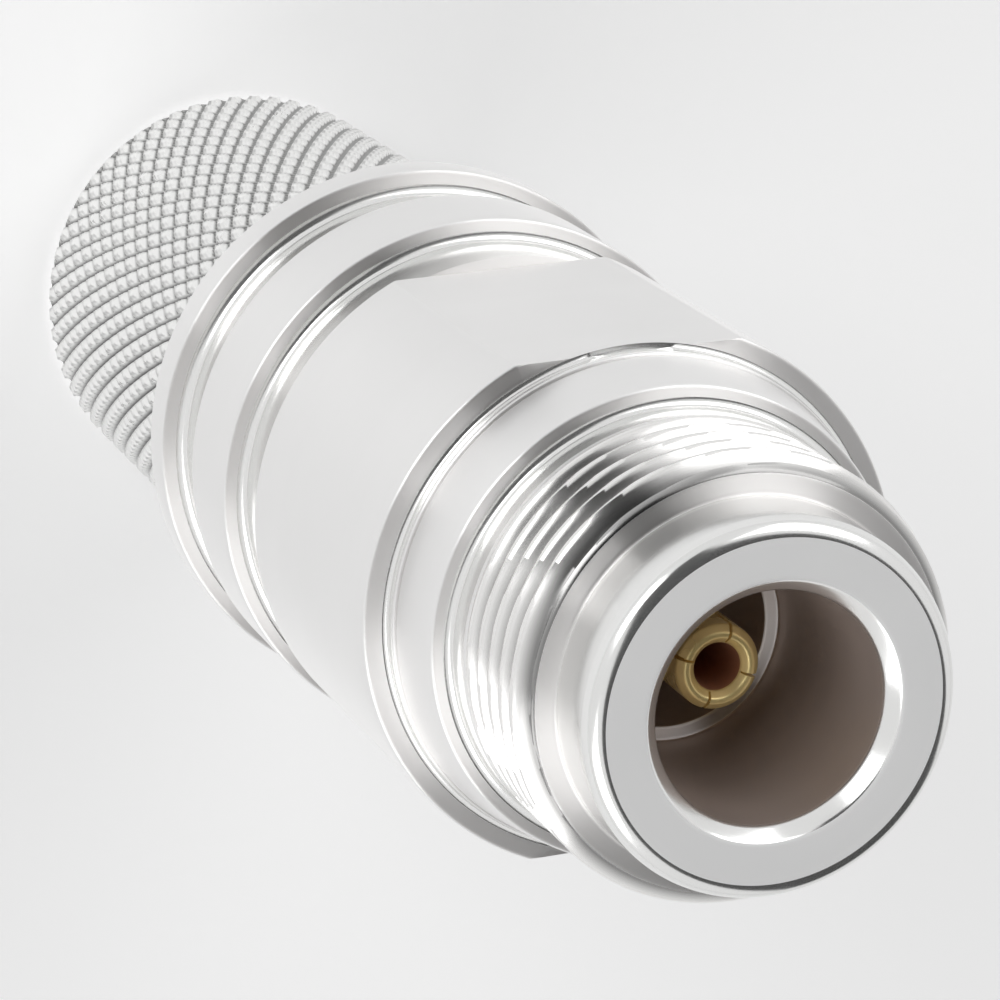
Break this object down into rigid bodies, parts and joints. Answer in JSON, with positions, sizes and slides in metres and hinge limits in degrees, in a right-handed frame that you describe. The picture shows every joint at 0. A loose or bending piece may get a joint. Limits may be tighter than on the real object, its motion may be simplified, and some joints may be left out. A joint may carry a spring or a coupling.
{
  "type": "coaxial connector jack",
  "caption": "Straight coaxial cable jack with a threaded front, spanner flats and a knurled crimp barrel for a thick cable.",
  "frame": {"origin": "centre of the open end of the knurled barrel, which the part stands on", "axes": "+Z along the connector's axis, out of the mating face; the spanner flats face +X and -X"},
  "size_m": [0.0216, 0.0216, 0.063],
  "materials": {
    "nickel_plate": "turned brass, polished and nickel plated",
    "gold_plate": "gold plated",
    "ptfe": "turned PTFE",
    "silicone": "moulded silicone rubber"
  },
  "bodies": {
    "root": {"front_shell": "nickel_plate", "main_body": "nickel_plate", "crimp_barrel": "nickel_plate", "front_contact": "gold_plate", "rear_contact": "gold_plate", "front_bead": "ptfe", "press_ring": "nickel_plate", "rear_bead": "ptfe", "front_seal": "silicone", "rear_seal": "silicone"}
  },
  "joints": []
}
